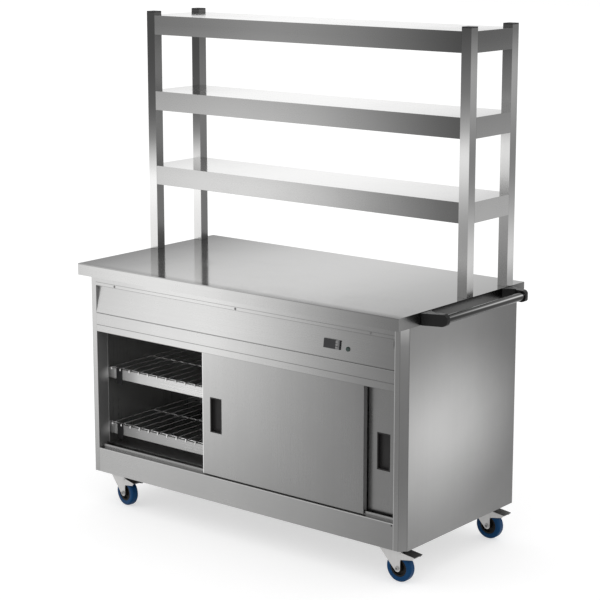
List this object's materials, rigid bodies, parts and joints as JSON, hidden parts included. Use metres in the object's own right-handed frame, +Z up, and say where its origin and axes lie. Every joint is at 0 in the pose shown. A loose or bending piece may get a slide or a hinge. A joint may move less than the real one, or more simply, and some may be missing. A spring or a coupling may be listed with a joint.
{
  "type": "hostess trolley",
  "caption": "Mobile stainless hot cupboard with sliding doors, wire shelves, a tiered gantry over the worktop, a push handle and braked swivel castors.",
  "frame": {"origin": "middle of the whole trolley on the floor under its wheels", "axes": "+X along the front towards the push handle, +Y from the doors to the back, +Z up"},
  "size_m": [1.513, 0.735, 1.798],
  "materials": {
    "brushed_stainless": "fine brushed grain",
    "inner_stainless": "dull brushed sheet",
    "shelf_wire": "bright plated wire",
    "polished_tube": "polished tube",
    "bright_zinc": "bright zinc plate",
    "pedal_steel": "grey steel",
    "black_plastic": "black moulded plastic",
    "blue_tyre": "blue non-marking rubber",
    "silver_keys": "silver keys",
    "nylon": "natural nylon",
    "green_lens": "clear green lens",
    "mineral_wool": "soft wool slab",
    "motor_steel": "pressed steel",
    "heater_steel": "heat-tinted sheath"
  },
  "bodies": {
    "cabinet": {"worktop": "brushed_stainless", "worktop_stiffeners": "inner_stainless", "side_panels": "brushed_stainless", "back_panel": "brushed_stainless", "front_posts": "brushed_stainless", "control_fascia": "brushed_stainless", "upper_rail": "brushed_stainless", "front_skirt": "brushed_stainless", "base_pan": "inner_stainless", "chassis_rails": "inner_stainless", "liner_floor": "inner_stainless", "liner_sides": "inner_stainless", "liner_back": "inner_stainless", "insulation": "mineral_wool", "upper_door_track": "inner_stainless", "lower_door_track": "inner_stainless", "shelf_rails": "inner_stainless", "shelf_clips": "black_plastic", "shelf_grids": "shelf_wire", "fan_baffle": "inner_stainless", "fan_motor": "motor_steel", "heater_element": "heater_steel", "controller": "black_plastic", "indicator_lamp": "green_lens", "cable_gland": "black_plastic", "gantry_posts": "brushed_stainless", "gantry_shelves": "brushed_stainless", "post_caps": "black_plastic", "fasteners": "bright_zinc", "handle_tube": "polished_tube", "handle_brackets": "black_plastic", "castor_plates": "bright_zinc"},
    "outer_door": {"outer_door": "brushed_stainless", "outer_door_back": "inner_stainless", "outer_door_pull": "black_plastic", "outer_door_glides": "nylon"},
    "inner_door": {"inner_door": "brushed_stainless", "inner_door_back": "inner_stainless", "inner_door_pull": "black_plastic", "inner_door_glides": "nylon"},
    "fan": {"fan_impeller": "motor_steel"},
    "key_up": {"key_up": "silver_keys"},
    "key_set": {"key_set": "silver_keys"},
    "key_down": {"key_down": "silver_keys"},
    "front_right_castor": {"front_right_fork": "bright_zinc"},
    "front_right_wheel": {"front_right_hub": "black_plastic", "front_right_tyre": "blue_tyre"},
    "front_right_brake": {"front_right_pedal": "pedal_steel"},
    "front_left_castor": {"front_left_fork": "bright_zinc"},
    "front_left_wheel": {"front_left_hub": "black_plastic", "front_left_tyre": "blue_tyre"},
    "front_left_brake": {"front_left_pedal": "pedal_steel"},
    "rear_right_castor": {"rear_right_fork": "bright_zinc"},
    "rear_right_wheel": {"rear_right_hub": "black_plastic", "rear_right_tyre": "blue_tyre"},
    "rear_right_brake": {"rear_right_pedal": "pedal_steel"},
    "rear_left_castor": {"rear_left_fork": "bright_zinc"},
    "rear_left_wheel": {"rear_left_hub": "black_plastic", "rear_left_tyre": "blue_tyre"},
    "rear_left_brake": {"rear_left_pedal": "pedal_steel"}
  },
  "joints": [
    {"name": "outer_door_slide", "type": "slide", "parent": "cabinet", "child": "outer_door", "axis": [1, 0, 0], "range_m": [-0.507, 0.125]},
    {"name": "inner_door_slide", "type": "slide", "parent": "cabinet", "child": "inner_door", "axis": [1, 0, 0], "range_m": [-0.632, 0]},
    {"name": "fan_spin", "type": "hinge", "parent": "cabinet", "child": "fan", "pos_m": [-0.0415, 0.06, 0.67], "axis": [0, 0, 1], "continuous": true},
    {"name": "key_up_press", "type": "slide", "parent": "cabinet", "child": "key_up", "axis": [0, 0.9907, -0.136], "range_m": [0, 0.0006], "stiffness_N_per_m": 400, "springref_m": -0.0005},
    {"name": "key_set_press", "type": "slide", "parent": "cabinet", "child": "key_set", "axis": [0, 0.9907, -0.136], "range_m": [0, 0.0006], "stiffness_N_per_m": 400, "springref_m": -0.0005},
    {"name": "key_down_press", "type": "slide", "parent": "cabinet", "child": "key_down", "axis": [0, 0.9907, -0.136], "range_m": [0, 0.0006], "stiffness_N_per_m": 400, "springref_m": -0.0005},
    {"name": "front_right_swivel", "type": "hinge", "parent": "cabinet", "child": "front_right_castor", "pos_m": [0.5785, -0.2625, 0.112], "axis": [0, 0, 1], "continuous": true},
    {"name": "front_right_roll", "type": "hinge", "parent": "front_right_castor", "child": "front_right_wheel", "pos_m": [0.6165, -0.2625, 0.049], "axis": [0, 1, 0], "continuous": true},
    {"name": "front_right_brake_press", "type": "hinge", "parent": "front_right_castor", "child": "front_right_brake", "pos_m": [0.6285, -0.2625, 0.103], "axis": [0, 1, 0], "range_deg": [0, 10]},
    {"name": "front_left_swivel", "type": "hinge", "parent": "cabinet", "child": "front_left_castor", "pos_m": [-0.6615, -0.2625, 0.112], "axis": [0, 0, 1], "continuous": true},
    {"name": "front_left_roll", "type": "hinge", "parent": "front_left_castor", "child": "front_left_wheel", "pos_m": [-0.62408, -0.2691, 0.049], "axis": [0.1736, 0.9848, 0], "continuous": true},
    {"name": "front_left_brake_press", "type": "hinge", "parent": "front_left_castor", "child": "front_left_brake", "pos_m": [-0.61226, -0.27118, 0.103], "axis": [0.1736, 0.9848, 0], "range_deg": [0, 10]},
    {"name": "rear_right_swivel", "type": "hinge", "parent": "cabinet", "child": "rear_right_castor", "pos_m": [0.5785, 0.2715, 0.112], "axis": [0, 0, 1], "continuous": true},
    {"name": "rear_right_roll", "type": "hinge", "parent": "rear_right_castor", "child": "rear_right_wheel", "pos_m": [0.6165, 0.2715, 0.049], "axis": [0, 1, 0], "continuous": true},
    {"name": "rear_right_brake_press", "type": "hinge", "parent": "rear_right_castor", "child": "rear_right_brake", "pos_m": [0.6285, 0.2715, 0.103], "axis": [0, 1, 0], "range_deg": [0, 10]},
    {"name": "rear_left_swivel", "type": "hinge", "parent": "cabinet", "child": "rear_left_castor", "pos_m": [-0.6615, 0.2715, 0.112], "axis": [0, 0, 1], "continuous": true},
    {"name": "rear_left_roll", "type": "hinge", "parent": "rear_left_castor", "child": "rear_left_wheel", "pos_m": [-0.62579, 0.2845, 0.049], "axis": [-0.342, 0.9397, 0], "continuous": true},
    {"name": "rear_left_brake_press", "type": "hinge", "parent": "rear_left_castor", "child": "rear_left_brake", "pos_m": [-0.61452, 0.2886, 0.103], "axis": [-0.342, 0.9397, 0], "range_deg": [0, 10]}
  ]
}
